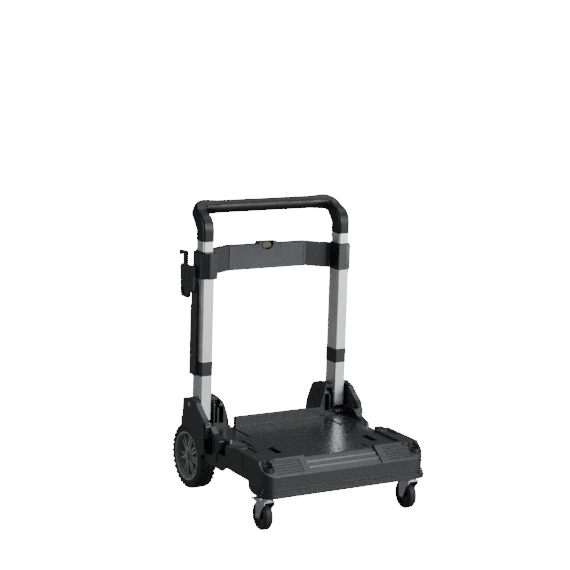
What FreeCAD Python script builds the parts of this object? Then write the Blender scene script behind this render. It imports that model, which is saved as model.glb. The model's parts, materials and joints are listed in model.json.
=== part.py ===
"""Folding platform cart: moulded deck on two rear wheels and two swivel casters,
with a fold-down tube frame and a telescoping handle. Millimetres, +Z up, front is -Y."""
import math
import os

import FreeCAD
import Part

V = FreeCAD.Vector
os.makedirs("parts", exist_ok=True)

# Driving dimensions -------------------------------------------------------
DECK_HALF_W = 238.0
DECK_FRONT = -262.0
DECK_REAR = 108.0
DECK_TOP = 178.0
DECK_UNDER = 141.0
DECK_SKIN = 4.0
DECK_WALL = 3.5
SKIRT_BOTTOM = 94.0
CORNER_R = 28.0
RAMP_REAR_Y = -216.0
RAMP_TOP_Z = 183.0
RAMP_EDGE_Z = 150.0
RAMP_INNER_X = 105.0
BORE_X, BORE_Y, BORE_R = 217.6, -236.0, 11.0
BORE_TOP_Z, BORE_BOTTOM_Z = 169.0, 142.0
LIP_HALF_W, LIP_FRONT, LIP_TOP = 133.0, 96.0, 206.0

MAST_X, MAST_Y = 207.0, 152.0
PIVOT_Z = 240.0
PIVOT_R = 5.0
PIVOT_HEAD_R = 7.0
CHEEK_IN, CHEEK_OUT = 229.0, 244.5
BUSH_R = 7.0
LOCK_R = 2.8
LOCK_OFFSET = 16.0
LOCK_TRAVEL = 4.0
TUBE_W, TUBE_D, TUBE_WALL, TUBE_CHAMFER = 36.0, 50.0, 2.0, 4.6
TUBE_BOTTOM, TUBE_TOP = 198.0, 640.0
INNER_W, INNER_D = 30.0, 43.6
HANDLE_TRAVEL = 300.0
GAP = 0.3

WHEEL_Y, WHEEL_R = 180.0, 89.0
WHEEL_IN, WHEEL_OUT = 188.5, 236.5
RIM_R = 66.0
AXLE_R = 6.0
RUNNING = 0.06
ARCH_R = 94.0
FENDER_R = 84.0
SPOKES = 7

CASTER_X, CASTER_Y = 215.0, -222.0
CASTER_TRAIL, CASTER_R, CASTER_W = 12.0, 37.5, 24.0
CASTER_AXLE_R = 4.0
FORK_TOP = 91.2
KING_R = 5.0
SCREW_R = 2.0
CASTER_HOLES = [(sx * 16, sy * 22) for sx in (-1, 1) for sy in (-1, 1)]


# Helpers --------------------------------------------------------------------
def box(x0, x1, y0, y1, z0, z1):
    return Part.makeBox(x1 - x0, y1 - y0, z1 - z0, V(x0, y0, z0))


def rod_x(x0, x1, y, z, r):
    return Part.makeCylinder(r, x1 - x0, V(x0, y, z), V(1, 0, 0))


def rod_y(x, y0, y1, z, r):
    return Part.makeCylinder(r, y1 - y0, V(x, y0, z), V(0, 1, 0))


def rod_z(x, y, z0, z1, r):
    return Part.makeCylinder(r, z1 - z0, V(x, y, z0), V(0, 0, 1))


def outline(points, place):
    """Closed wire through 2-D points; a third number rounds that corner."""
    count = len(points)
    entry, leave, middle = [], [], []
    for i, point in enumerate(points):
        here = V(point[0], point[1], 0)
        radius = point[2] if len(point) > 2 else 0.0
        if radius == 0.0:
            entry.append(here)
            leave.append(here)
            middle.append(None)
            continue
        before, after = points[i - 1], points[(i + 1) % count]
        a = V(before[0], before[1], 0).sub(here).normalize()
        b = V(after[0], after[1], 0).sub(here).normalize()
        half = a.getAngle(b) / 2
        reach = radius / math.tan(half)
        bisector = a.add(b).normalize()
        centre = here.add(bisector * (radius / math.sin(half)))
        entry.append(here.add(a * reach))
        leave.append(here.add(b * reach))
        middle.append(centre.sub(bisector * radius))
    edges = []
    for i in range(count):
        start, end = leave[i - 1], entry[i]
        if start.distanceToPoint(end) > 1e-4:
            edges.append(Part.makeLine(place(start), place(end)))
        if middle[i] is not None:
            edges.append(Part.Arc(place(entry[i]), place(middle[i]), place(leave[i])).toShape())
    return Part.Wire(edges)


def slab_x(points, x0, x1):
    face = Part.Face(outline(points, lambda p: V(x0, p.x, p.y)))
    return face.extrude(V(x1 - x0, 0, 0))


def slab_y(points, y0, y1):
    face = Part.Face(outline(points, lambda p: V(p.x, y0, p.y)))
    return face.extrude(V(0, y1 - y0, 0))


def slab_z(points, z0, z1):
    face = Part.Face(outline(points, lambda p: V(p.x, p.y, z0)))
    return face.extrude(V(0, 0, z1 - z0))


def rect_section(x, y, w, d, corner, z0, z1):
    pts = [(x - w / 2, y - d / 2, corner), (x + w / 2, y - d / 2, corner),
           (x + w / 2, y + d / 2, corner), (x - w / 2, y + d / 2, corner)]
    return slab_z(pts, z0, z1)


def chamfer_section(x, y, w, d, c, z0, z1):
    a, b = w / 2, d / 2
    pts = [(x - a + c, y - b), (x + a - c, y - b), (x + a, y - b + c), (x + a, y + b - c),
           (x + a - c, y + b), (x - a + c, y + b), (x - a, y + b - c), (x - a, y - b + c)]
    return slab_z(pts, z0, z1)


def revolve_x(points, y, z):
    """Solid of revolution about an X-parallel axis from (x, radius) points."""
    face = Part.Face(outline(points, lambda p: V(p.x, y, z + p.y)))
    return face.revolve(V(0, y, z), V(1, 0, 0), 360)


def both_sides(shape):
    return shape.fuse(mirrored(shape))


def mirrored(shape):
    return shape.mirror(V(0, 0, 0), V(1, 0, 0))


def save(node, shape):
    tidy = shape.removeSplitter()
    if not tidy.isValid():
        tidy = shape
    tidy.exportStep("parts/%s.step" % node)


def save_pair(stem, right_shape):
    save(stem + "_right", right_shape)
    save(stem + "_left", mirrored(right_shape))


# Deck -------------------------------------------------------------------------
def deck_outline(inset):
    w = DECK_HALF_W - inset
    front = DECK_FRONT + inset
    rear = DECK_REAR - inset
    step_x, notch_y = 213.0 - inset, -46.0
    r = CORNER_R - inset
    return [(w, front, r), (w, notch_y - inset), (step_x, notch_y - inset), (step_x, rear),
            (-step_x, rear), (-step_x, notch_y - inset), (-w, notch_y - inset), (-w, front, r)]


def ramp_place(shape):
    """Carry a shape drawn flat below Y=0 onto the sloping front ramp."""
    angle = math.degrees(math.atan2(RAMP_TOP_Z - RAMP_EDGE_Z, RAMP_REAR_Y - DECK_FRONT))
    shape.rotate(V(0, 0, 0), V(1, 0, 0), angle)
    shape.translate(V(0, RAMP_REAR_Y, RAMP_TOP_Z))
    return shape


def deck_body():
    side = [(DECK_REAR, DECK_TOP, 2), (DECK_REAR, DECK_UNDER), (-60, DECK_UNDER), (-80, 136),
            (-74, 119, 3), (-170, 119, 3), (-176, 100, 6), (-192, SKIRT_BOTTOM, 8),
            (DECK_FRONT, SKIRT_BOTTOM),
            (DECK_FRONT, RAMP_EDGE_Z, 3), (RAMP_REAR_Y, RAMP_TOP_Z, 3), (-208, RAMP_TOP_Z),
            (-208, DECK_TOP)]
    body = slab_x(side, -DECK_HALF_W, DECK_HALF_W)
    body = body.common(slab_z(deck_outline(0.0), 80, 190))
    middle_step = [(-207, DECK_TOP), (-214, DECK_TOP), (-216, 175.5), (-229, 170), (-231, 166.5),
                   (-244, 160.5), (-246, 157), (-258, 150.5), (DECK_FRONT - 1, 147.5),
                   (DECK_FRONT - 1, 190), (-207, 190)]
    body = body.cut(slab_x(middle_step, -RAMP_INNER_X, RAMP_INNER_X))
    under = [(DECK_REAR - DECK_WALL, DECK_TOP - DECK_SKIN), (-210, DECK_TOP - DECK_SKIN),
             (-258.5, 142), (-258.5, 80), (DECK_REAR - DECK_WALL, 80)]
    hollow = slab_x(under, -DECK_HALF_W, DECK_HALF_W)
    hollow = hollow.common(slab_z(deck_outline(DECK_WALL), 70, 190))
    body = body.cut(hollow)
    ribs = []
    for y in (60.0, 8.0, -44.0, -96.0, -148.0, -200.0):
        ribs.append(box(-240, 240, y - 1.5, y + 1.5, 146, 176))
    for x in (0.0, 55.0, 110.0, 160.0):
        for side_sign in (-1, 1):
            cx = x * side_sign
            ribs.append(box(cx - 1.5, cx + 1.5, -262, 106, 146, 176))
    for side_sign in (-1, 1):
        cx = CASTER_X * side_sign
        ribs.append(box(cx - 34, cx + 34, -262, -192, SKIRT_BOTTOM, 102))
        ribs.append(box(cx - 1.5, cx + 1.5, -262, -184, 100, 176))
        ribs.append(box(cx - 34, cx + 34, CASTER_Y - 1.5, CASTER_Y + 1.5, 100, 176))
        ribs.append(box(cx - 34, cx - 31, -262, -184, 100, 176))
        ribs.append(rod_z(cx, CASTER_Y, 100, 120, 12))
        ribs.append(rod_z(BORE_X * side_sign, BORE_Y, 130, 168, BORE_R + 3.5))
        ribs.append(box(min(172 * side_sign, 218 * side_sign), max(172 * side_sign, 218 * side_sign),
                        -88, -14, 167, 176))
    web = ribs[0].multiFuse(ribs[1:]).common(hollow)
    return body.fuse(web)


def deck_band():
    """Bumper band with its two grooves, wrapped round the front corners."""
    def ring(out, z0, z1):
        w, f, r = DECK_HALF_W + out, DECK_FRONT - out, CORNER_R + out
        back = -226.0
        outer = slab_z([(w, f, r), (w, back, 1.5), (-w, back, 1.5), (-w, f, r)], z0, z1)
        w, f, r = DECK_HALF_W - 1, DECK_FRONT + 1, CORNER_R - 1
        return outer.cut(slab_z([(w, f, r), (w, -200), (-w, -200), (-w, f, r)], z0 - 1, z1 + 1))
    lines = [ring(3.0, 112.5, 115.5), ring(1.5, 108.5, 113.0), ring(6.0, 103.0, 109.0),
             ring(7.0, 95.0, 103.2)]
    return lines[0].multiFuse(lines[1:])


def deck():
    body = deck_body().fuse(deck_band())
    pads = []
    cuts = []
    for s in (-1, 1):
        def bx(x0, x1, y0, y1, z0, z1):
            return box(min(s * x0, s * x1), max(s * x0, s * x1), y0, y1, z0, z1)
        # raised side pad with its shallow recess
        pad = bx(192, DECK_HALF_W, -222, -80, 176, RAMP_TOP_Z)
        pads.append(pad.common(slab_z(deck_outline(0.0), 170, 190)))
        cuts.append(bx(198, 226, -150, -98, RAMP_TOP_Z - 3, 190))
        # ribbed ramp pocket
        pocket = bx(124, 202, -49, -8, -2, 5)
        pocket = ramp_place(pocket)
        cuts.append(pocket)
        # corner bore, its boss and the moat round it
        moat = rod_z(s * BORE_X, BORE_Y, 140, 200, BORE_R + 6.5)
        slope = ramp_place(box(-250, 250, -70, 10, -2, 40))
        cuts.append(moat.common(slope))
        cuts.append(rod_z(s * BORE_X, BORE_Y, BORE_TOP_Z, 200, BORE_R + 6.5))
        # slots for cases and latches
        cuts.append(bx(139, 145, 2, 83, 150, 190))
        cuts.append(bx(134, 152, -161, -105, 168, 190))
        cuts.append(bx(136, 150, -150, -112, 150, 190))
        cuts.append(bx(179, 184, -104, -90, 150, 190))
        cuts.append(bx(174.5, 216, -83.5, -18.5, 172, 190))
        cuts.append(bx(193, 207, -78, -62, 150, 190))
        # tyre clearance at the rear corner
        arch = rod_x(186, 240, WHEEL_Y, WHEEL_R, ARCH_R)
        cuts.append(arch if s > 0 else mirrored(arch))
        # vertical groove in the skirt
        cuts.append(bx(DECK_HALF_W - 1.5, 240, -140, -137, 140, 176))
    cuts.append(box(92.5, 97.5, -201, -173, 150, 190))
    cuts.append(rod_z(17, -190, 150, 190, 3))
    body = body.multiFuse(pads)
    body = body.cut(cuts[0].multiFuse(cuts[1:]))
    extra = []
    for s in (-1, 1):
        rib_zone = []
        for k in range(5):
            v = 11.5 + 8.4 * k
            x0, x1 = sorted((s * 122, s * 204))
            rib_zone.append(box(x0, x1, -v - 1.9, -v + 1.9, -3, -0.3))
        ribs = ramp_place(rib_zone[0].multiFuse(rib_zone[1:]))
        extra.append(ribs)
        boss = rod_z(s * BORE_X, BORE_Y, BORE_BOTTOM_Z, BORE_TOP_Z, BORE_R + 3.5)
        extra.append(boss)
    lip = box(-LIP_HALF_W, LIP_HALF_W, LIP_FRONT, DECK_REAR, 170, LIP_TOP)
    lip = lip.cut(box(-LIP_HALF_W + 3, LIP_HALF_W - 3, LIP_FRONT + 3, DECK_REAR - 2.5, 160, 202))
    extra.append(lip)
    extra.append(box(-LIP_HALF_W, LIP_HALF_W, LIP_FRONT - 1.2, LIP_FRONT + 1, 201, 204))
    extra.append(box(-LIP_HALF_W, LIP_HALF_W, LIP_FRONT - 1.2, LIP_FRONT + 1, 177, 181))
    for k in range(-2, 3):
        extra.append(box(k * 48 - 1.5, k * 48 + 1.5, LIP_FRONT + 1, DECK_REAR - 1, 176, 204))
    body = body.multiFuse(extra)
    bores = []
    for s in (-1, 1):
        bores.append(rod_z(s * BORE_X, BORE_Y, BORE_BOTTOM_Z, 200, BORE_R))
        bores.append(rod_z(s * CASTER_X, CASTER_Y, 80, 106, KING_R))
        for dx, dy in CASTER_HOLES:
            bores.append(rod_z(s * CASTER_X + dx, CASTER_Y + dy, 80, 103, SCREW_R))
    return body.cut(bores[0].multiFuse(bores[1:]))


save("deck", deck())


# Rear brackets --------------------------------------------------------------
def bracket_outer():
    """Side bracket: outer plate with wheel arch, cheek beside the tube, forward arm, lower box."""
    crest = [(193, 198), (188, 250, 4), (150, 261, 4), (113, 252, 3), (97, 237, 12), (73, 221, 12)]
    plate_side = [(199, 183), (199, 197)] + crest + [(66, 212), (66, 190), (61, 126, 3), (84, 116),
                                                    (150, 116), (199, 160)]
    plate = slab_x(plate_side, CHEEK_OUT - 3, CHEEK_OUT)
    plate = plate.cut(rod_x(CHEEK_OUT - 4, CHEEK_OUT + 1, WHEEL_Y, WHEEL_R, FENDER_R))
    cheek_side = [(193, 185)] + crest + [(56, 201, 6), (56, 168), (118, 168), (118, 185)]
    cheek = slab_x(cheek_side, CHEEK_IN, CHEEK_OUT - 2.5)
    arm_side = [(2, 150, 2), (2, 174, 3), (14, 178), (37, 186, 12), (56, 201, 4), (112, 201), (112, 112),
                (20, 112, 6), (14, 141, 4)]
    arm = slab_x(arm_side, 213.3, 230.0)
    lower = slab_x([(100, 140.7), (-40, 140.7, 2), (-44, 133, 2), (-12, 98, 4), (90, 98), (100, 106)],
                   196, 228.0)
    floor = box(187.3, CHEEK_OUT - 2, 106, 199, 181.5, 185)
    front_wall = box(213.3, CHEEK_OUT - 2, 92, 118, 128, 184)
    body = plate.multiFuse([cheek, arm, lower, floor, front_wall])
    body = body.cut(rod_x(180, 239, WHEEL_Y, WHEEL_R, ARCH_R - 2.0))
    groove = slab_x([(42, 172, 4), (58, 174, 4), (56, 124, 5), (45, 124, 5)], 222, 232)
    panel = slab_x([(8, 168, 3), (34, 172, 3), (36, 140, 4), (20, 140, 4)], 228.4, 232)
    hatch = slab_z([(204, -20), (221, -20, 3), (221, 6, 3), (204, 6)], 90, 132)
    pocket = box(204, 221, 26, 78, 90, 132)
    lock_room = box(225, 240.5, MAST_Y - LOCK_R - 0.35, MAST_Y + LOCK_R + 0.35,
                    PIVOT_Z + LOCK_OFFSET - LOCK_TRAVEL - LOCK_R - 0.4, 270)
    pivot_hole = rod_x(220, 250, MAST_Y, PIVOT_Z, PIVOT_R)
    counterbore = rod_x(241, 250, MAST_Y, PIVOT_Z, PIVOT_HEAD_R + 0.5)
    return body.cut(groove.multiFuse([panel, hatch, pocket, lock_room, pivot_hole, counterbore]))


def bracket_inner():
    """Inner bracket: upright between tube and deck, carried down to the axle."""
    side = [(120, 178.3), (120, 240, 5), (134, 258, 6), (152, 262, 4), (196, 253, 3), (196, 168),
            (200, 120, 8), (194, 70, 10), (166, 70, 10), (146, 112, 6), (108.3, 124), (108.3, 178.3)]
    front = [(187, 262), (170, 260, 2), (158, 246, 4), (146, 212, 8), (141.5, 193), (141.5, 60),
             (187, 60)]
    body = slab_x(side, 141.5, 187).common(slab_y(front, 100, 210))
    body = body.fuse(box(141.5, 187, 106, 122, 178.3, 181.5))
    lock_room = box(170, 190, MAST_Y - LOCK_R - 0.35, MAST_Y + LOCK_R + 0.35,
                    PIVOT_Z + LOCK_OFFSET - LOCK_TRAVEL - LOCK_R - 0.4, 270)
    cuts = [box(158, 171, 115, 148, 188, 234), box(176.5, 183, 115, 130, 190, 234),
            box(166, 182.5, 115, 158, 240, 251).fuse(box(171, 182.5, 115, 158, 231, 251)),
            box(150, 181, 150, 197, 126, 176).cut(box(164, 167, 148, 198, 124, 178)),
            rod_x(140, 152, 165, 215, 3.5),
            rod_x(140, 190, MAST_Y, PIVOT_Z, PIVOT_R),
            rod_x(140, 190, WHEEL_Y, WHEEL_R, AXLE_R), lock_room]
    return body.cut(cuts[0].multiFuse(cuts[1:]))


save_pair("bracket_outer", bracket_outer())
save_pair("bracket_inner", bracket_inner())
save("rear_axle", rod_x(-234, 234, WHEEL_Y, WHEEL_R, AXLE_R))


def hex_head(x0, x1, y, z, across):
    r = across / math.sqrt(3)
    pts = [(y + r * math.cos(math.radians(60 * k)), z + r * math.sin(math.radians(60 * k)))
           for k in range(6)]
    return slab_x(pts, x0, x1)


def wheel_bolt():
    washer = rod_x(234.0, 235.5, WHEEL_Y, WHEEL_R, 11)
    return washer.fuse(hex_head(235.4, 240.5, WHEEL_Y, WHEEL_R, 13))


def pivot_bolt():
    shaft = rod_x(172, 241, MAST_Y, PIVOT_Z, PIVOT_R)
    head = rod_x(241, 244.5, MAST_Y, PIVOT_Z, PIVOT_HEAD_R)
    head = head.cut(hex_head(242.5, 246, MAST_Y, PIVOT_Z, 5))
    nut = hex_head(172, 178, MAST_Y, PIVOT_Z, 10)
    return shaft.multiFuse([head, nut])


save_pair("wheel_bolt", wheel_bolt())
save_pair("pivot_bolt", pivot_bolt())
save_pair("tube_rest", box(190, 226, 116, 132, 185, 187))


def latch_plate():
    """Pressed plate in the side recess, with an opening and a low upright strip."""
    plate = box(176, 211.5, -82, -20, 172, 173.5)
    plate = plate.cut(box(193, 207, -78, -62, 170, 180))
    strip = box(206, 211, -22, -20, 172, 183)
    rim = box(176, 178, -82, -20, 172, 174.6)
    return plate.multiFuse([strip, rim])


save_pair("latch_plate", latch_plate())


def screws(points, z0, z1, head_z):
    """Upright screws: heads below, shanks going up."""
    bodies = []
    for x, y in points:
        shank = rod_z(x, y, z0, z1, SCREW_R)
        bodies.append(shank.fuse(rod_z(x, y, head_z, z0, 4.0)))
    return Part.makeCompound(bodies)


def caster_plate():
    pts = [(CASTER_X - 22, CASTER_Y - 28, 5), (CASTER_X + 22, CASTER_Y - 28, 5),
           (CASTER_X + 22, CASTER_Y + 28, 5), (CASTER_X - 22, CASTER_Y + 28, 5)]
    plate = slab_z(pts, 91.8, SKIRT_BOTTOM)
    for dx, dy in CASTER_HOLES:
        plate = plate.cut(rod_z(CASTER_X + dx, CASTER_Y + dy, 90, 96, SCREW_R))
    king = rod_z(CASTER_X, CASTER_Y, 78.5, 104, KING_R)
    king_head = rod_z(CASTER_X, CASTER_Y, 76.6, 78.6, 8)
    return plate.multiFuse([king, king_head])


save_pair("caster_plate", caster_plate())
caster_screw_at = [(s * CASTER_X + dx, CASTER_Y + dy) for s in (-1, 1) for dx, dy in CASTER_HOLES]
save("caster_screws", screws(caster_screw_at, 91.8, 101.5, 90.2))


def bracket_screws():
    """Screw heads in the rear pockets that hold each inner bracket to the deck."""
    heads = [rod_y(s * x, 150, 153.5, 152, 4.0) for s in (-1, 1) for x in (157, 174)]
    return Part.makeCompound(heads)


save("bracket_screws", bracket_screws())


# Lock bars ------------------------------------------------------------------
lock_bar = rod_x(174, 239, MAST_Y, PIVOT_Z + LOCK_OFFSET, LOCK_R)
save_pair("lock_bar", lock_bar)


# Tube frame -----------------------------------------------------------------
def lock_slot(x0, x1):
    """Arc slot round the pivot, with a pocket for the upright and one for the folded frame."""
    low, high = LOCK_OFFSET - LOCK_R - 0.45, LOCK_OFFSET + LOCK_R + 0.45
    ring = rod_x(x0, x1, MAST_Y, PIVOT_Z, high).cut(rod_x(x0, x1, MAST_Y, PIVOT_Z, low))
    half = LOCK_R + 0.45
    keep = box(x0, x1, MAST_Y - half, MAST_Y + 40, PIVOT_Z - half, PIVOT_Z + 40)
    deep = LOCK_OFFSET - LOCK_TRAVEL - LOCK_R - 0.4
    upright = box(x0, x1, MAST_Y - half, MAST_Y + half, PIVOT_Z + deep, PIVOT_Z + high)
    folded = box(x0, x1, MAST_Y + deep, MAST_Y + high, PIVOT_Z - half, PIVOT_Z + half)
    return ring.common(keep).multiFuse([upright, folded])


def outer_tube():
    body = chamfer_section(MAST_X, MAST_Y, TUBE_W, TUBE_D, TUBE_CHAMFER, TUBE_BOTTOM, TUBE_TOP)
    core = chamfer_section(MAST_X, MAST_Y, TUBE_W - 2 * TUBE_WALL, TUBE_D - 2 * TUBE_WALL,
                           TUBE_CHAMFER - 0.8, TUBE_BOTTOM - 1, TUBE_TOP + 1)
    body = body.cut(core)
    body = body.cut(lock_slot(185, 229))
    body = body.cut(rod_x(185, 229, MAST_Y, PIVOT_Z, BUSH_R))
    for z in (272, 366):
        body = body.cut(rod_x(215, 229, MAST_Y, z, 2.0))
    return body


def pivot_bush():
    body = rod_x(187.6, 228.4, MAST_Y, PIVOT_Z, BUSH_R)
    return body.cut(rod_x(180, 235, MAST_Y, PIVOT_Z, PIVOT_R + RUNNING))


def end_plug():
    plug = chamfer_section(MAST_X, MAST_Y, TUBE_W - 2 * TUBE_WALL, TUBE_D - 2 * TUBE_WALL,
                           TUBE_CHAMFER - 0.8, TUBE_BOTTOM, 226)
    flange = chamfer_section(MAST_X, MAST_Y, TUBE_W - 1, TUBE_D - 1, TUBE_CHAMFER, 196.5, 198)
    return plug.fuse(flange)


def collar():
    body = chamfer_section(MAST_X, MAST_Y, 38, 52, 5.2, 319, 357)
    body = body.cut(chamfer_section(MAST_X, MAST_Y, TUBE_W, TUBE_D, TUBE_CHAMFER, 318, 358))
    return body.fuse(box(225.8, 229, 144, 172, 325, 350))


def tube_guide():
    body = chamfer_section(MAST_X, MAST_Y, TUBE_W - 2 * TUBE_WALL - 0.02,
                           TUBE_D - 2 * TUBE_WALL - 0.02, TUBE_CHAMFER - 0.8, 612, TUBE_TOP)
    body = body.fuse(chamfer_section(MAST_X, MAST_Y, TUBE_W, TUBE_D, TUBE_CHAMFER, TUBE_TOP, 652))
    return body.cut(rect_section(MAST_X, MAST_Y, INNER_W + 2 * GAP, INNER_D + 2 * GAP, 5.3, 600, 660))


save_pair("outer_tube", outer_tube())
save_pair("pivot_bush", pivot_bush())
save_pair("tube_plug", end_plug())
save_pair("tube_collar", collar())
save_pair("tube_guide", tube_guide())


def crossbar_shell():
    right = [(0, 186), (119.5, 186), (178, 174, 5), (185, 166, 5), (185, 118.5, 2), (208, 118.5, 3),
             (229, 130.5, 3), (229, 178, 4), (223, 183, 3), (198, 183, 5), (172, 198, 8),
             (119, 206), (0, 206)]
    left = [(-p[0],) + tuple(p[1:]) for p in reversed(right[1:-1])]
    plan = slab_z(right + left, 570, 660)
    front = [(119.5, 586), (172, 580), (232, 580), (232, 648), (172, 648), (119.5, 654),
             (-119.5, 654), (-172, 648), (-232, 648), (-232, 580), (-172, 580), (-119.5, 586)]
    body = plan.common(slab_y(front, 110, 220))
    hollow = box(-117, 117, 190, 220, 590, 650)
    for k in range(-3, 4):
        hollow = hollow.cut(box(k * 33 - 1.2, k * 33 + 1.2, 189, 221, 589, 651))
    hollow = hollow.cut(box(-20, 20, 189, 221, 620, 651))
    body = body.cut(hollow)
    body = body.cut(box(-117, 117, 183, 187.2, 589, 651))
    for s in (-1, 1):
        tube = chamfer_section(s * MAST_X, MAST_Y, TUBE_W, TUBE_D, TUBE_CHAMFER, 570, 660)
        body = body.cut(tube)
    well = box(-14.6, 14.6, 188.4, 202.6, 634, 660)
    notch = rod_y(0, 180, 190, 654, 16)
    return body.cut(well.fuse(notch))


def crossbar_panel():
    body = box(-117, 117, 184, 187.2, 589, 651)
    rim = box(-112, 112, 183, 184.8, 594, 646)
    body = body.cut(rim)
    return body.cut(rod_y(0, 180, 190, 654, 16))


def button_bezel():
    body = slab_y([(-30, 654), (30, 654), (27, 660, 2), (-27, 660, 2)], 182.6, 205)
    body = body.fuse(rod_y(0, 182.6, 184, 655, 19).common(box(-20, 20, 182, 186, 636, 660)))
    body = body.cut(rod_y(0, 182, 187.2, 655, 16.2))
    return body.cut(box(-14.6, 14.6, 182, 203, 650, 670))


HOOK_LIFT_RIGHT = 21.0


def strap_webbing(lift):
    """Flat webbing lying along the tube, turned back on itself at the lower end."""
    strap = box(229.05, 230.85, 146, 180, 322, 560 + lift)
    fold = box(231.15, 232.95, 146, 180, 319.5, 505 + lift)
    turn = box(229.05, 232.95, 146, 180, 317.5, 322)
    return strap.multiFuse([fold, turn])


def strap_hook(lift):
    """Moulded buckle with a rearward hook at its upper end."""
    side = [(152, 545, 3), (180, 535, 3), (186, 521, 3), (222, 521, 4), (226, 530, 3), (232, 600, 5),
            (228, 608, 2), (214, 608, 2), (214, 637, 2), (230, 637, 1), (232, 630, 1), (238, 631, 2),
            (238, 643, 3), (199, 645, 5), (199, 609, 2), (152, 611, 4)]
    body = slab_x(side, 231.2, 239.6)
    window = slab_x([(190, 530, 2), (216, 530, 2), (218, 550, 3), (190, 552, 3)], 237, 241)
    bar = slab_x([(158, 570, 2), (224, 566, 2), (225, 574, 2), (158, 578, 2)], 238.4, 241)
    body = body.cut(window.fuse(bar))
    body = body.cut(box(229, 233.4, 144, 181, 530, 562))
    body = body.fuse(box(229.05, 231.4, 160, 178, 584, 600))
    body.translate(V(0, 0, lift))
    return body


save("crossbar_shell", crossbar_shell())
save("crossbar_panel", crossbar_panel())
save("button_bezel", button_bezel())
for side_name, side_lift in (("left", 0.0), ("right", HOOK_LIFT_RIGHT)):
    webbing = strap_webbing(side_lift)
    hook = strap_hook(side_lift)
    if side_name == "left":
        webbing, hook = mirrored(webbing), mirrored(hook)
    save("strap_webbing_" + side_name, webbing)
    save("strap_hook_" + side_name, hook)
bar_screws = [rod_y(s * x, 206, 208, z, 4) for s in (-1, 1) for x, z in ((60, 596), (60, 644))]
bar_screws += [rod_y(s * MAST_X, 183, 185, 614, 5) for s in (-1, 1)]
save("crossbar_screws", Part.makeCompound(bar_screws))

button = box(-14.2, 14.2, 188.8, 202.2, 642, 658)
button = button.common(rod_y(0, 180, 210, 644, 15.5))
save("release_button", button)


# Handle ---------------------------------------------------------------------
def inner_tube():
    body = rect_section(MAST_X, MAST_Y, INNER_W, INNER_D, 5, 290, 690)
    core = rect_section(MAST_X, MAST_Y, INNER_W - 3, INNER_D - 3, 3.5, 289, 686)
    body = body.cut(core)
    for z in (660, 669):
        body = body.cut(rod_x(215, 229, MAST_Y, z, 1.8))
    return body


def slider_shoe():
    body = chamfer_section(MAST_X, MAST_Y, TUBE_W - 2 * TUBE_WALL - 2 * GAP,
                           TUBE_D - 2 * TUBE_WALL - 2 * GAP, TUBE_CHAMFER - 1.0, 286, 308)
    return body.cut(rect_section(MAST_X, MAST_Y, INNER_W, INNER_D, 5, 290, 320))


GRIP_Y, GRIP_Z, GRIP_R = 209.0, 757.8, 17.2
GRIP_BASE = 678.5
ARM_HALF_W, ARM_HALF_D, ARM_SOFT = 16.8, 23.4, 7.0
KNEE_R, CORNER_BEND = 26.0, 26.0
LEAN_DEG = 55.0
BEND_HALF_D, BEND_SOFT, BAR_BLEND = 17.6, 10.5, 40.0


def ring_wire(centre, u, v, half_u, half_v, r):
    """Rounded rectangle in the plane of unit vectors u and v."""
    pts = [(-half_u, -half_v, r), (half_u, -half_v, r), (half_u, half_v, r), (-half_u, half_v, r)]
    return outline(pts, lambda p: centre.add(u * p.x).add(v * p.y))


def handle_grip():
    """Rectangular arms that lean back and blend into a round bar through two bends."""
    ex, ey = V(1, 0, 0), V(0, 1, 0)
    lean_rise = (GRIP_Y - MAST_Y) / math.tan(math.radians(LEAN_DEG))
    knee = V(MAST_X, MAST_Y, GRIP_Z - lean_rise)
    top = V(MAST_X, GRIP_Y, GRIP_Z)
    lean = top.sub(knee).normalize()
    normal = V(0, lean.z, -lean.y)
    reach = KNEE_R * math.tan(math.radians(LEAN_DEG) / 2)
    start = V(MAST_X, MAST_Y, GRIP_BASE)
    knee_low = knee.sub(V(0, 0, reach))
    knee_high = knee.add(lean * reach)
    bend_low = top.sub(lean * CORNER_BEND)
    bend_centre = bend_low.sub(ex * CORNER_BEND)
    arm = ring_wire(start, ex, ey, ARM_HALF_W, ARM_HALF_D, ARM_SOFT)
    straight = Part.Face(arm).extrude(knee_low.sub(start))
    arm = ring_wire(knee_low, ex, ey, ARM_HALF_W, ARM_HALF_D, ARM_SOFT)
    knee_bend = Part.Face(arm).revolve(knee_low.add(ey * KNEE_R), V(-1, 0, 0), LEAN_DEG)
    soft = GRIP_R - 0.6
    low = ring_wire(knee_high, ex, normal, ARM_HALF_W, ARM_HALF_D, ARM_SOFT)
    high = ring_wire(bend_low, ex, normal, GRIP_R, BEND_HALF_D, BEND_SOFT)
    blend = Part.makeLoft([low, high], True, False)
    corner = Part.Face(high).revolve(bend_centre, normal, -90)
    if corner.BoundBox.ZMax < GRIP_Z:
        corner = Part.Face(high).revolve(bend_centre, normal, 90)
    bar_end = top.sub(ex * CORNER_BEND)
    bar_start = bar_end.sub(ex * BAR_BLEND)
    wide = ring_wire(bar_end, lean, normal, GRIP_R, BEND_HALF_D, BEND_SOFT)
    round_end = ring_wire(bar_start, lean, normal, GRIP_R, GRIP_R, soft)
    taper = Part.makeLoft([wide, round_end], True, False)
    bar = Part.Face(ring_wire(bar_start, lean, normal, GRIP_R, GRIP_R, soft))
    bar = bar.extrude(V(-2 * bar_start.x, 0, 0))
    half = straight.multiFuse([knee_bend, blend, corner, taper])
    body = half.multiFuse([mirrored(half), bar])
    for s in (-1, 1):
        body = body.cut(rect_section(s * MAST_X, MAST_Y, INNER_W, INNER_D, 5, 670, 690))
    return body


save_pair("inner_tube", inner_tube())
save_pair("slider_shoe", slider_shoe())
save("handle_grip", handle_grip())


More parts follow.
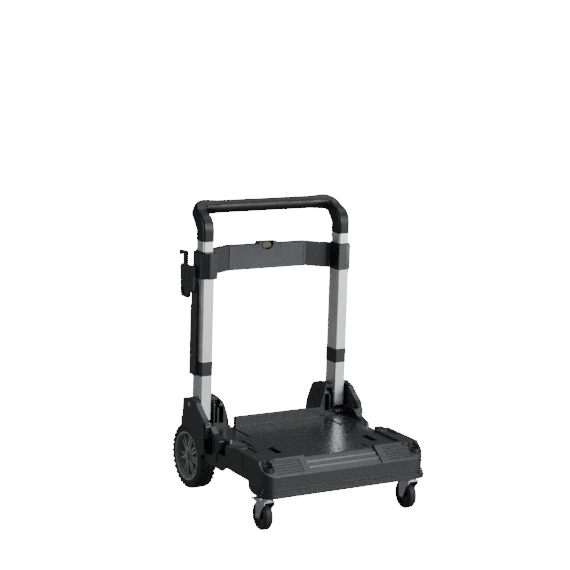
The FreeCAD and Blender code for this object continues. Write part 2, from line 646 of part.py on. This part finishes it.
# Rear wheels ------------------------------------------------------------------
def tyre():
    section = [(WHEEL_IN, RIM_R), (WHEEL_IN, 80, 4), (WHEEL_IN + 7, WHEEL_R - 1, 6),
               (205, WHEEL_R - 0.4), (205, WHEEL_R - 5), (208.5, WHEEL_R - 5), (208.5, WHEEL_R),
               (216.5, WHEEL_R), (216.5, WHEEL_R - 5), (220, WHEEL_R - 5), (220, WHEEL_R - 0.4),
               (WHEEL_OUT - 7, WHEEL_R - 1, 6), (WHEEL_OUT, 80, 4), (WHEEL_OUT, RIM_R)]
    return revolve_x(section, WHEEL_Y, WHEEL_R)


def rim():
    barrel = revolve_x([(WHEEL_IN + 0.5, 61), (WHEEL_IN + 0.5, RIM_R), (WHEEL_OUT - 0.5, RIM_R),
                        (WHEEL_OUT - 0.5, 62), (230, 60.5), (200, 58)], WHEEL_Y, WHEEL_R)
    hub = revolve_x([(192, 12), (192, 19), (224, 19), (231, 16), (231, 12)], WHEEL_Y, WHEEL_R)
    parts = [hub]
    for k in range(SPOKES):
        for offset in (-8.0, 8.0):
            arm = slab_x([(-3.2 + offset * 0.45, 14), (3.2 + offset * 0.45, 14),
                          (2.6 + offset, 62), (-2.6 + offset, 62)], 208, 226)
            arm = arm.cut(slab_y([(220, 64), (227, 64), (227, 24)], -30, 30))
            arm.rotate(V(0, 0, 0), V(1, 0, 0), 360.0 / SPOKES * k)
            arm.translate(V(0, WHEEL_Y, WHEEL_R))
            parts.append(arm)
    web = revolve_x([(204, 12), (204, 60), (209, 60), (209, 12)], WHEEL_Y, WHEEL_R)
    parts.append(web)
    body = barrel.multiFuse(parts)
    return body.cut(rod_x(180, 245, WHEEL_Y, WHEEL_R, 12))


def wheel_bush():
    body = rod_x(190, 233, WHEEL_Y, WHEEL_R, 12)
    return body.cut(rod_x(180, 245, WHEEL_Y, WHEEL_R, AXLE_R + RUNNING))


save_pair("tyre", tyre())
save_pair("rim", rim())
save_pair("wheel_bush", wheel_bush())


# Casters --------------------------------------------------------------------
AXLE_Y = CASTER_Y + CASTER_TRAIL
BRAKE_Y, BRAKE_Z, BRAKE_PIN_R = 31.0, 77.5, 2.0


def caster_fork():
    side = [(-22, 82), (24, 82), (23, 66, 6), (21, 31.5, 8), (3, 31.5, 8), (-9, 60, 6), (-22, 74, 3)]
    side = [(p[0] + CASTER_Y,) + tuple(p[1:]) for p in side]
    ear = [(10, 82), (BRAKE_Y + 4, 82, 3), (BRAKE_Y + 4, BRAKE_Z - 4, 3), (10, BRAKE_Z - 6)]
    ear = [(p[0] + CASTER_Y,) + tuple(p[1:]) for p in ear]
    legs = slab_x(side, CASTER_X + 13.0, CASTER_X + 15.5)
    legs = legs.multiFuse([slab_x(side, CASTER_X - 15.5, CASTER_X - 13.0),
                           slab_x(ear, CASTER_X + 13.0, CASTER_X + 15.5),
                           slab_x(ear, CASTER_X - 15.5, CASTER_X - 13.0)])
    crown = rect_section(CASTER_X, CASTER_Y + 1, 31, 46, 4, 79.4, 82)
    cup = rod_z(CASTER_X, CASTER_Y, 82, 86, 20).fuse(rod_z(CASTER_X, CASTER_Y, 85.5, 89.6, 17.5))
    cup = cup.fuse(rod_z(CASTER_X, CASTER_Y, 89, 91.2, 13))
    body = legs.multiFuse([crown, cup])
    body = body.cut(rod_z(CASTER_X, CASTER_Y, 70, 95, KING_R + RUNNING))
    pin_y = CASTER_Y + BRAKE_Y
    body = body.cut(rod_x(CASTER_X - 20, CASTER_X + 20, pin_y, BRAKE_Z, BRAKE_PIN_R + RUNNING))
    return body.cut(rod_x(CASTER_X - 20, CASTER_X + 20, AXLE_Y, CASTER_R, CASTER_AXLE_R))


def caster_axle():
    bar = rod_x(CASTER_X - 16.5, CASTER_X + 16.5, AXLE_Y, CASTER_R, CASTER_AXLE_R)
    heads = rod_x(CASTER_X + 15.5, CASTER_X + 18, AXLE_Y, CASTER_R, 6)
    heads = heads.fuse(hex_head(CASTER_X - 18, CASTER_X - 15.5, AXLE_Y, CASTER_R, 10))
    return bar.fuse(heads)


def caster_tyre():
    half = CASTER_W / 2
    section = [(CASTER_X - half, 26), (CASTER_X - half, 33, 5), (CASTER_X - 8, CASTER_R, 5),
               (CASTER_X + 8, CASTER_R, 5), (CASTER_X + half, 33, 5), (CASTER_X + half, 26)]
    return revolve_x(section, AXLE_Y, CASTER_R)


def caster_hub():
    half = CASTER_W / 2
    bore = CASTER_AXLE_R + RUNNING
    section = [(CASTER_X - half, bore), (CASTER_X - half, 9), (CASTER_X - 7, 10),
               (CASTER_X - 7, 22), (CASTER_X - half + 1, 23), (CASTER_X - half + 1, 26),
               (CASTER_X + half - 1, 26), (CASTER_X + half - 1, 23), (CASTER_X + 7, 22),
               (CASTER_X + 7, 10), (CASTER_X + half, 9), (CASTER_X + half, bore)]
    return revolve_x(section, AXLE_Y, CASTER_R)


save_pair("caster_fork", caster_fork())
save_pair("caster_axle", caster_axle())
save_pair("caster_tyre", caster_tyre())
save_pair("caster_hub", caster_hub())


def brake_pedal():
    """Pedal behind the left caster fork, turning on a cross pin between the fork ears."""
    y0 = CASTER_Y + BRAKE_Y
    side = [(y0 - 4.5, BRAKE_Z - 3, 1.5), (y0 - 4.5, BRAKE_Z + 3, 2), (y0 + 3, BRAKE_Z + 4.5, 2),
            (y0 + 27, BRAKE_Z - 5, 2), (y0 + 25, BRAKE_Z - 9, 2), (y0 + 4, BRAKE_Z - 3, 2)]
    body = slab_x(side, -CASTER_X - 11, -CASTER_X + 11)
    return body.fuse(rod_x(-CASTER_X - 15.5, -CASTER_X + 15.5, y0, BRAKE_Z, BRAKE_PIN_R))


save("brake_pedal_left", brake_pedal())
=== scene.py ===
import json
import math

import bmesh
import bpy
from mathutils import Matrix, Vector


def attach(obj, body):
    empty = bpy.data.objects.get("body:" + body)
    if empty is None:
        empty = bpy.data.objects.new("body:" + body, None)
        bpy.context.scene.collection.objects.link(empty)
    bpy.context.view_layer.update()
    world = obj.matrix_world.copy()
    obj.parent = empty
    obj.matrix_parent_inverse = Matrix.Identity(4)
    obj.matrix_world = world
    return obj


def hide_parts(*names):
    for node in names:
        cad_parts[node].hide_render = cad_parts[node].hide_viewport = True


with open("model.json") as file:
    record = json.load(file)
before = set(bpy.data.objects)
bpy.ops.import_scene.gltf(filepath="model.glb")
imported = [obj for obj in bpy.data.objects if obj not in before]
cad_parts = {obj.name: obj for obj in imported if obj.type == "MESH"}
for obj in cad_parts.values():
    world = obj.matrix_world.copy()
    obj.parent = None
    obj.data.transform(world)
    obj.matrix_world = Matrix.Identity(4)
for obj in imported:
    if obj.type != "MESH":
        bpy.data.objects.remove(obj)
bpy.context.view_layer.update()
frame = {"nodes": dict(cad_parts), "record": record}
MM = 0.001
BEVEL_SAMPLES = 4

# Rear wheel, in millimetres
WHEEL_CENTRE = (180.0, 89.0)
WHEEL_X = 212.5
CARCASS_SEGMENTS = 128
LUGS_ROUND = 34
LUG_TAPER = 0.84
# one lug: offset and skew in degrees, inner and outer x, foot and top radius, half width in degrees
TREAD_LUGS = (
    (0.0, 3.4, 1.2, 12.4, 84.2, 89.0, 3.5),
    (5.4, 1.6, 13.8, 22.6, 82.2, 88.6, 3.4),
    (7.1, 0.4, 22.0, 23.9, 76.5, 86.0, 2.4),
)

# Strap stitching, in millimetres
HOOK_LIFT = {"left": 0.0, "right": 21.0}
FOLD_FACE_X, THREAD_TOP_X = 232.8, 233.4
STITCH_BOX_BOTTOM, STITCH_BOX_TOP, STITCH_BOX_HEIGHT = 328.0, 476.0, 22.0

# Light and stage
KEY_SIDE = (0.495, -0.855, -0.15)
LIGHTS = (
    ("key", (0.9, -2.9, 1.9), (0, 0, 0.35), (2.2, 2.0), 100),
    ("front_card", (2.0, -2.6, 0.7), (0.1, 0, 0.4), (1.2, 1.6), 12),
    ("top", (1.0, 0.0, 2.9), (0, 0, 0.2), (2.4, 1.8), 24),
    ("right_fill", (2.6, 0.6, 1.1), (0, 0, 0.4), (1.0, 2.0), 30),
    ("left_fill", (-2.8, 0.6, 1.0), (0, 0, 0.4), (1.0, 2.0), 30),
)
STAGE_GLOW = 20.0
REACH, WALL_HEIGHT = 30.0, 40.0

# Camera
CAMERA_YAW, CAMERA_PITCH, CAMERA_ROLL = (math.radians(a) for a in (-29.95, 10.83, 1.75))
CAMERA_TARGET = Vector((-0.0125, 0.064, 0.5626))
CAMERA_DISTANCE = 4.627
CAMERA_LENS = 110.5


# Materials ------------------------------------------------------------------
def new_material(name):
    mat = bpy.data.materials.new(name)
    mat.use_nodes = True
    nt = mat.node_tree
    bsdf = nt.nodes["Principled BSDF"]
    return mat, nt, bsdf


def add(nt, kind, **inputs):
    node = nt.nodes.new(kind)
    for key, value in inputs.items():
        node.inputs[key.replace("_", " ")].default_value = value
    return node


def ramp(nt, source, stops):
    node = nt.nodes.new("ShaderNodeValToRGB")
    elements = node.color_ramp.elements
    elements[0].position, elements[0].color = stops[0]
    elements[1].position, elements[1].color = stops[-1]
    for pos, colour in stops[1:-1]:
        e = elements.new(pos)
        e.color = colour
    nt.links.new(source, node.inputs["Fac"])
    return node


def grey(v, tint=(1.0, 1.0, 1.0)):
    return (v * tint[0], v * tint[1], v * tint[2], 1.0)


def noise(nt, vector, scale, detail, roughness):
    node = add(nt, "ShaderNodeTexNoise", Scale=scale, Detail=detail, Roughness=roughness)
    nt.links.new(vector, node.inputs["Vector"])
    return node.outputs["Fac"]


def vary_colour(nt, bsdf, source, base, spread, low, high):
    """Drift the base colour by the spread, darker below low and lighter above high."""
    dark = tuple(c * (1 - spread) for c in base) + (1.0,)
    light = tuple(min(c * (1 + spread), 1.0) for c in base) + (1.0,)
    tone = ramp(nt, source, [(low, dark), (high, light)])
    nt.links.new(tone.outputs["Color"], bsdf.inputs["Base Color"])


def vary_roughness(nt, bsdf, source, smooth, dull):
    rr = ramp(nt, source, [(0.3, grey(smooth)), (0.7, grey(dull))])
    nt.links.new(rr.outputs["Color"], bsdf.inputs["Roughness"])


def soft_bump(nt, bsdf, height, strength, distance, bevel):
    """Bump the surface by the height and shade its edges as if rounded by the bevel."""
    bump = add(nt, "ShaderNodeBump", Strength=strength, Distance=distance)
    nt.links.new(height, bump.inputs["Height"])
    soft = add(nt, "ShaderNodeBevel", Radius=bevel)
    soft.samples = BEVEL_SAMPLES
    nt.links.new(soft.outputs["Normal"], bump.inputs["Normal"])
    nt.links.new(bump.outputs["Normal"], bsdf.inputs["Normal"])


def plastic(name, base, rough, grain_scale=900.0, grain=0.06, bevel=0.0007, mottling=0.25,
            spec=0.5, wear_range=0.08):
    """Moulded plastic: fine spark texture, faint mottling and worn, rounded edges."""
    mat, nt, bsdf = new_material(name)
    place = nt.nodes.new("ShaderNodeTexCoord").outputs["Object"]
    vary_colour(nt, bsdf, noise(nt, place, 9.0, 4.0, 0.6), base, mottling, 0.3, 0.7)
    vary_roughness(nt, bsdf, noise(nt, place, 60.0, 3.0, 0.55),
                   max(rough - wear_range, 0.02), min(rough + wear_range, 1.0))
    soft_bump(nt, bsdf, noise(nt, place, grain_scale, 2.0, 0.5), grain, 0.0004, bevel)
    bsdf.inputs["Specular IOR Level"].default_value = spec
    return mat


def metal(name, base, rough, stretch=(1.0, 1.0, 1.0), variation=0.06, scale=300.0):
    """Drawn or plated metal with fine directional marks."""
    mat, nt, bsdf = new_material(name)
    place = nt.nodes.new("ShaderNodeTexCoord").outputs["Object"]
    mapping = add(nt, "ShaderNodeMapping", Scale=stretch)
    nt.links.new(place, mapping.inputs["Vector"])
    lines = noise(nt, mapping.outputs["Vector"], scale, 3.0, 0.6)
    vary_colour(nt, bsdf, lines, base, variation, 0.35, 0.65)
    vary_roughness(nt, bsdf, noise(nt, place, 14.0, 3.0, 0.6), rough * 0.85, min(rough * 1.2, 1))
    soft_bump(nt, bsdf, lines, 0.05, 0.0002, 0.0005)
    bsdf.inputs["Metallic"].default_value = 1.0
    return mat


def webbing_material():
    mat, nt, bsdf = new_material("webbing")
    coord = nt.nodes.new("ShaderNodeTexCoord")
    wave = add(nt, "ShaderNodeTexWave", Scale=220.0, Distortion=0.6, Detail=1.0)
    wave.bands_direction = "Z"
    cross = add(nt, "ShaderNodeTexWave", Scale=160.0, Distortion=0.4, Detail=1.0)
    cross.bands_direction = "Y"
    nt.links.new(coord.outputs["Object"], wave.inputs["Vector"])
    nt.links.new(coord.outputs["Object"], cross.inputs["Vector"])
    mix = nt.nodes.new("ShaderNodeMath")
    mix.operation = "ADD"
    nt.links.new(wave.outputs["Fac"], mix.inputs[0])
    nt.links.new(cross.outputs["Fac"], mix.inputs[1])
    tone = ramp(nt, wave.outputs["Fac"], [(0.2, grey(0.008)), (0.8, grey(0.022))])
    nt.links.new(tone.outputs["Color"], bsdf.inputs["Base Color"])
    bump = add(nt, "ShaderNodeBump", Strength=0.5, Distance=0.0006)
    nt.links.new(mix.outputs[0], bump.inputs["Height"])
    nt.links.new(bump.outputs["Normal"], bsdf.inputs["Normal"])
    bsdf.inputs["Roughness"].default_value = 0.85
    bsdf.inputs["Sheen Weight"].default_value = 0.15
    return mat


MATS = {
    "black_plastic": plastic("black_plastic", (0.015, 0.0172, 0.019), 0.26, grain=0.008,
                             bevel=0.0010, mottling=0.12, spec=0.6, wear_range=0.03),
    "grip_plastic": plastic("grip_plastic", (0.007, 0.0084, 0.0096), 0.33, grain_scale=1300.0,
                            grain=0.03, spec=0.33),
    "panel_plastic": plastic("panel_plastic", (0.041, 0.048, 0.052), 0.36, grain=0.03),
    "tube_aluminium": metal("tube_aluminium", (0.80, 0.82, 0.83), 0.36, stretch=(1.0, 1.0, 0.02),
                            scale=700.0),
    "zinc_steel": metal("zinc_steel", (0.66, 0.70, 0.76), 0.30, scale=80.0, variation=0.1),
    "latch_steel": metal("latch_steel", (0.20, 0.25, 0.265), 0.40, scale=90.0, variation=0.12),
    "steel": metal("steel", (0.66, 0.66, 0.66), 0.22, scale=200.0),
    "rim_plastic": plastic("rim_plastic", (0.21, 0.235, 0.23), 0.42),
    "tyre_rubber": plastic("tyre_rubber", (0.011, 0.0115, 0.012), 0.58, grain_scale=500.0,
                           grain=0.2, bevel=0.0009, spec=0.4),
    "hub_plastic": plastic("hub_plastic", (0.016, 0.016, 0.018), 0.45),
    "webbing": webbing_material(),
    "button_plastic": plastic("button_plastic", (0.085, 0.075, 0.034), 0.42, mottling=0.1),
}


def shade(obj, slot, angle=32.0):
    """Give a mesh its slot's material and smooth only its gentle edges."""
    mesh = obj.data
    mesh.materials.clear()
    mesh.materials.append(MATS[slot])
    for poly in mesh.polygons:
        poly.material_index = 0
    mesh.shade_smooth()
    bm = bmesh.new()
    bm.from_mesh(mesh)
    limit = math.radians(angle)
    for edge in bm.edges:
        faces = edge.link_faces
        edge.smooth = len(faces) == 2 and faces[0].normal.angle(faces[1].normal, 0.0) < limit
    bm.to_mesh(mesh)
    bm.free()
    even = obj.modifiers.new("even_normals", "WEIGHTED_NORMAL")
    even.mode = "FACE_AREA"
    even.weight = 90
    even.keep_sharp = True


slot_of = {s["node"]: s["material_slot"] for s in frame["record"]["subparts"]}
for name, node in frame["nodes"].items():
    shade(node, slot_of[name])


# Geometry helpers -------------------------------------------------------------
def make_object(name, bm, slot_name, body, angle=32.0):
    bmesh.ops.recalc_face_normals(bm, faces=bm.faces)
    data = bpy.data.meshes.new(name)
    bm.to_mesh(data)
    bm.free()
    obj = bpy.data.objects.new(name, data)
    bpy.context.scene.collection.objects.link(obj)
    shade(obj, slot_name, angle)
    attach(obj, body)
    return obj


def lathe_x(bm, profile, centre, segments):
    """Revolve (x, radius) points, in millimetres, about an X axis through centre (y, z)."""
    rings = []
    for x, r in profile:
        ring = []
        for k in range(segments):
            a = 2 * math.pi * k / segments
            ring.append(bm.verts.new((x * MM, (centre[0] + r * math.cos(a)) * MM,
                                      (centre[1] + r * math.sin(a)) * MM)))
        rings.append(ring)
    for lower, upper in zip(rings, rings[1:]):
        for k in range(segments):
            n = (k + 1) % segments
            bm.faces.new((lower[k], lower[n], upper[n], upper[k]))
    return rings


# Rear tyres -------------------------------------------------------------------
def tread_block(bm, side, start, lug):
    """One rubber lug: a skewed block whose top is smaller than its foot."""
    offset, skew, inner_x, outer_x, foot_r, top_r, half_deg = lug
    angle = start + math.radians(offset)
    top, foot = [], []
    for u, v in ((0, -1), (1, -1), (1, 1), (0, 1)):
        x = inner_x + (outer_x - inner_x) * u
        drift = skew * u
        for row, radius, shrink in ((foot, foot_r, 1.0), (top, top_r - 2.2 * u * u, LUG_TAPER)):
            a = angle + math.radians((half_deg * v) * shrink + drift)
            xx = x + (0.7 if u == 0 else -0.9) * (1.0 - shrink) * 6
            row.append(bm.verts.new(((side[0] * WHEEL_X + side[1] * xx) * MM,
                                     (WHEEL_CENTRE[0] + radius * math.cos(a)) * MM,
                                     (WHEEL_CENTRE[1] + radius * math.sin(a)) * MM)))
    bm.faces.new(top)
    for k in range(4):
        n = (k + 1) % 4
        bm.faces.new((foot[k], foot[n], top[n], top[k]))
    bm.faces.new(list(reversed(foot)))


def carcass_profile():
    """Half section of the tyre from the rim seat over the bead line to the tread."""
    half = [(24.0, 69.0), (23.9, 74.5), (23.0, 75.4), (23.6, 76.4), (22.6, 80.5), (20.2, 83.2),
            (15.0, 84.6), (8.0, 85.0)]
    seat = 23.6, 66.0
    left = [(-x, r) for x, r in [seat] + half]
    return left + half[::-1] + [seat]


def build_tyre(side, name):
    bm = bmesh.new()
    rings = lathe_x(bm, [(side * WHEEL_X + x, r) for x, r in carcass_profile()], WHEEL_CENTRE,
                    CARCASS_SEGMENTS)
    for k in range(CARCASS_SEGMENTS):
        n = (k + 1) % CARCASS_SEGMENTS
        bm.faces.new((rings[-1][k], rings[-1][n], rings[0][n], rings[0][k]))
    pitch = 2 * math.pi / LUGS_ROUND
    for k in range(LUGS_ROUND):
        for row, shift in ((-1, 0.0), (1, 0.5)):
            for lug in TREAD_LUGS:
                tread_block(bm, (side, row), (k + shift) * pitch, lug)
    obj = make_object("tread_" + name, bm, "tyre_rubber", "wheel_" + name, 28.0)
    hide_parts("tyre_" + name)


for side, name in ((-1, "left"), (1, "right")):
    build_tyre(side, name)


# Strap stitching ------------------------------------------------------------
def small_block(bm, x0, x1, y0, y1, z0, z1):
    corners = [bm.verts.new((x * MM, y * MM, z * MM)) for x in (x0, x1) for y in (y0, y1)
               for z in (z0, z1)]
    for quad in ((0, 1, 3, 2), (4, 6, 7, 5), (0, 4, 5, 1), (2, 3, 7, 6), (0, 2, 6, 4),
                 (1, 5, 7, 3)):
        bm.faces.new([corners[i] for i in quad])


def build_stitches(side, name):
    """Two boxes of thread that close the turned-back webbing."""
    bm = bmesh.new()
    x0, x1 = sorted((side * FOLD_FACE_X, side * THREAD_TOP_X))
    for base in (STITCH_BOX_BOTTOM, STITCH_BOX_TOP + HOOK_LIFT[name]):
        for k in range(7):
            y = 149.5 + k * 4.0
            for z in (base, base + STITCH_BOX_HEIGHT):
                small_block(bm, x0, x1, y, y + 2.6, z, z + 0.9)
        for k in range(5):
            z = base + 1.5 + k * 4.2
            for y in (148.4, 176.6):
                small_block(bm, x0, x1, y, y + 0.9, z, z + 2.8)
    make_object("stitches_" + name, bm, "webbing", "tube_frame")


build_stitches(-1, "left")
build_stitches(1, "right")


# Camera and light -----------------------------------------------------------
def look(obj, place, back, right, up):
    obj.matrix_world = Matrix((
        (right.x, up.x, back.x, place.x),
        (right.y, up.y, back.y, place.y),
        (right.z, up.z, back.z, place.z),
        (0.0, 0.0, 0.0, 1.0),
    ))


level = math.cos(CAMERA_PITCH)
back = Vector((math.sin(CAMERA_YAW) * level, -math.cos(CAMERA_YAW) * level, math.sin(CAMERA_PITCH)))
right = Vector((math.cos(CAMERA_YAW), math.sin(CAMERA_YAW), 0.0))
up = back.cross(right)
right_r = math.cos(CAMERA_ROLL) * right + math.sin(CAMERA_ROLL) * up
up_r = -math.sin(CAMERA_ROLL) * right + math.cos(CAMERA_ROLL) * up
camera_data = bpy.data.cameras.new("camera")
camera_data.lens = CAMERA_LENS
camera_data.sensor_width = 36.0
camera_data.clip_end = 50.0
camera = bpy.data.objects.new("camera", camera_data)
bpy.context.scene.collection.objects.link(camera)
look(camera, CAMERA_TARGET + back * CAMERA_DISTANCE, back, right_r, up_r)
bpy.context.scene.camera = camera


def area_light(name, place, aim, size, power):
    data = bpy.data.lights.new(name, "AREA")
    data.shape = "RECTANGLE"
    data.size, data.size_y = size
    data.energy = power
    light = bpy.data.objects.new(name, data)
    bpy.context.scene.collection.objects.link(light)
    to = Vector(aim) - Vector(place)
    light.rotation_euler = to.to_track_quat("-Z", "Y").to_euler()
    light.location = place


for light_spec in LIGHTS:
    area_light(*light_spec)

world = bpy.data.worlds.new("world")
bpy.context.scene.world = world
world.use_nodes = True
wn = world.node_tree
background = wn.nodes["Background"]
background.inputs["Strength"].default_value = 1.0
direction = wn.nodes.new("ShaderNodeTexCoord")
toward = wn.nodes.new("ShaderNodeVectorMath")
toward.operation = "DOT_PRODUCT"
toward.inputs[1].default_value = KEY_SIDE
wn.links.new(direction.outputs["Generated"], toward.inputs[0])
sky = ramp(wn, toward.outputs["Value"], [(0.0, grey(0.13)), (0.62, grey(0.2)), (0.82, grey(0.45)),
                                         (0.96, grey(0.95))])
wn.links.new(sky.outputs["Color"], background.inputs["Color"])


# Floor ----------------------------------------------------------------------
def floor_material():
    mat, nt, bsdf = new_material("floor")
    out = nt.nodes["Material Output"]
    coord = nt.nodes.new("ShaderNodeTexCoord")
    noise = add(nt, "ShaderNodeTexNoise", Scale=3.0, Detail=2.0)
    nt.links.new(coord.outputs["Object"], noise.inputs["Vector"])
    tone = ramp(nt, noise.outputs["Fac"], [(0.3, grey(0.93)), (0.7, grey(0.95))])
    nt.links.new(tone.outputs["Color"], bsdf.inputs["Base Color"])
    bsdf.inputs["Roughness"].default_value = 0.9
    bsdf.inputs["Specular IOR Level"].default_value = 0.1
    glow = add(nt, "ShaderNodeEmission", Strength=STAGE_GLOW)
    both = nt.nodes.new("ShaderNodeAddShader")
    nt.links.new(bsdf.outputs["BSDF"], both.inputs[0])
    nt.links.new(glow.outputs["Emission"], both.inputs[1])
    nt.links.new(both.outputs["Shader"], out.inputs["Surface"])
    return mat


def stage_plane(name, corners):
    data = bpy.data.meshes.new(name)
    data.from_pydata(corners, [], [(0, 1, 2, 3)])
    obj = bpy.data.objects.new(name, data)
    bpy.context.scene.collection.objects.link(obj)
    data.materials.append(floor_material())
    obj.visible_diffuse = False
    obj.visible_glossy = False


ground = [(-REACH, -REACH), (REACH, -REACH), (REACH, REACH), (-REACH, REACH)]
stage_plane("floor", [(x, y, 0.0) for x, y in ground])
for k in range(4):
    (x0, y0), (x1, y1) = ground[k], ground[(k + 1) % 4]
    stage_plane("backdrop_%d" % k, [(x0, y0, -1.0), (x1, y1, -1.0), (x1, y1, WALL_HEIGHT),
                                    (x0, y0, WALL_HEIGHT)])
